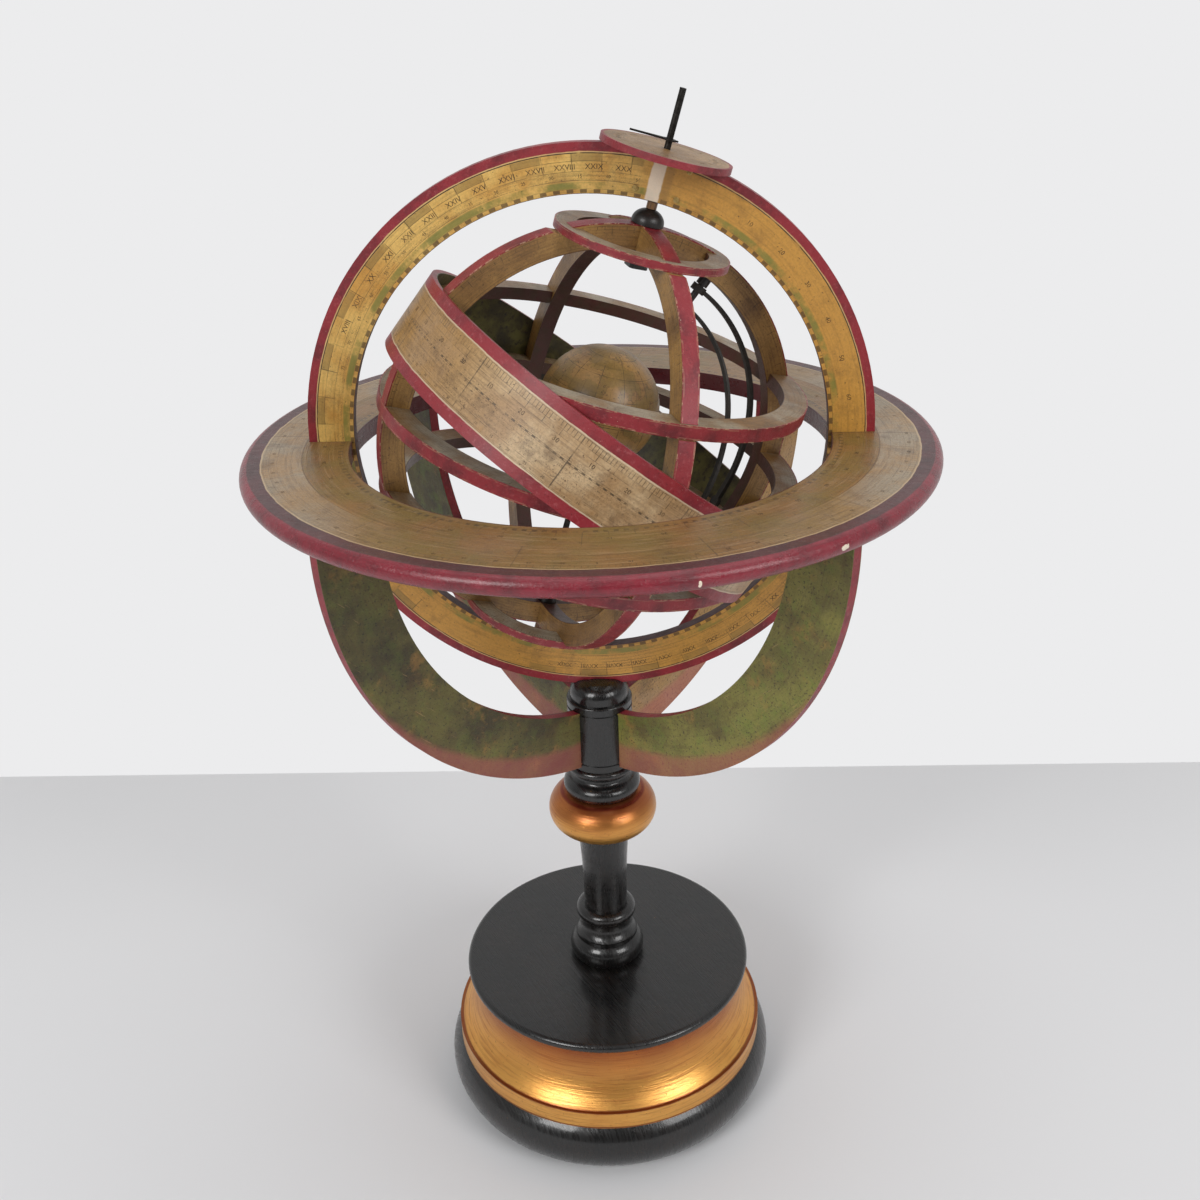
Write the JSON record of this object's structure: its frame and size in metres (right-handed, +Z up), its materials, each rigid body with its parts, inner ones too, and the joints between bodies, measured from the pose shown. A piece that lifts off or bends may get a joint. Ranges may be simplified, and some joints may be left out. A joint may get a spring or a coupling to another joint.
{
  "type": "armillary sphere",
  "caption": "Sphere of papered rings with an oblique zodiac band round a small globe, turning in a graduated meridian and horizon on a turned stand.",
  "frame": {"origin": "middle of the underside of the round base", "axes": "+Z up along the column; the meridian ring stands in the XZ plane and the polar axis leans from +Z towards +X; the front, as pictured, faces -Y"},
  "size_m": [0.33, 0.33, 0.5484],
  "materials": {
    "black_lacquer": "glossy black lacquer, lightly worn",
    "gilding": "burnished copper gold leaf over red ground",
    "arm_paper": "olive varnished paper on pasteboard, red rims",
    "bare_wood": "bare turned wood",
    "horizon_paper": "varnished printed paper, dark red side",
    "meridian_paper": "varnished paper scale, dark red rim",
    "pin_brass": "dull brass",
    "hour_paper": "varnished paper, red rim",
    "axis_iron": "dark drawn iron",
    "sleeve_wood": "brown turned wood",
    "dark_wood": "black turned wood",
    "ring_paper": "tan printed paper, red rims",
    "zodiac_paper": "pale printed paper outside, dark olive inside, red edges",
    "globe_paper": "varnished printed paper gores",
    "hand_iron": "dark hammered iron",
    "arm_strip": "dark painted strip"
  },
  "bodies": {
    "stand": {"base_foot": "black_lacquer", "base_cove": "gilding", "base_top": "black_lacquer", "column_shaft": "black_lacquer", "gilt_knop": "gilding", "slotted_post": "black_lacquer", "support_arm_front_left": "arm_paper", "support_arm_front_right": "arm_paper", "support_arm_back_right": "arm_paper", "support_arm_back_left": "arm_paper", "arm_dowels": "bare_wood", "horizon_ring": "horizon_paper"},
    "meridian": {"meridian_ring": "meridian_paper", "meridian_pins": "pin_brass", "hour_circle": "hour_paper", "south_axis_rod": "axis_iron", "south_sleeve": "sleeve_wood"},
    "globe": {"earth_globe": "globe_paper"},
    "sphere": {"solstitial_colure": "ring_paper", "equinoctial_colure": "ring_paper", "arctic_ring": "ring_paper", "tropic_of_cancer_ring": "ring_paper", "equator_ring": "ring_paper", "tropic_of_capricorn_ring": "ring_paper", "antarctic_ring": "ring_paper", "zodiac_band": "zodiac_paper", "north_axis_rod": "axis_iron", "north_dome_bead": "dark_wood", "north_sleeve": "sleeve_wood", "north_boss": "dark_wood", "south_boss": "dark_wood", "ecliptic_peg": "dark_wood", "peg_knob": "sleeve_wood"},
    "hour_hand": {"hour_hand": "hand_iron"},
    "sun_arm": {"sun_arm": "arm_strip"},
    "moon_arm": {"moon_arm": "arm_strip"}
  },
  "joints": [
    {"name": "meridian_tilt", "type": "hinge", "parent": "stand", "child": "meridian", "pos_m": [0, 0, 0.39226], "axis": [0, 1, 0], "range_deg": [-88, 56]},
    {"name": "sphere_turn", "type": "hinge", "parent": "meridian", "child": "sphere", "pos_m": [0, 0, 0.39226], "axis": [0.2756, 0, 0.9613], "continuous": true},
    {"name": "globe_turn", "type": "hinge", "parent": "meridian", "child": "globe", "pos_m": [0, 0, 0.39226], "axis": [0.2756, 0, 0.9613], "continuous": true},
    {"name": "hour_hand_turn", "type": "hinge", "parent": "sphere", "child": "hour_hand", "pos_m": [0, 0, 0.39226], "axis": [0.2756, 0, 0.9613], "continuous": true},
    {"name": "sun_arm_turn", "type": "hinge", "parent": "sphere", "child": "sun_arm", "pos_m": [0, 0, 0.39226], "axis": [0.6106, 0.1429, 0.7789], "range_deg": [-158, 152]},
    {"name": "moon_arm_turn", "type": "hinge", "parent": "sphere", "child": "moon_arm", "pos_m": [0, 0, 0.39226], "axis": [0.6106, 0.1429, 0.7789], "continuous": true}
  ]
}
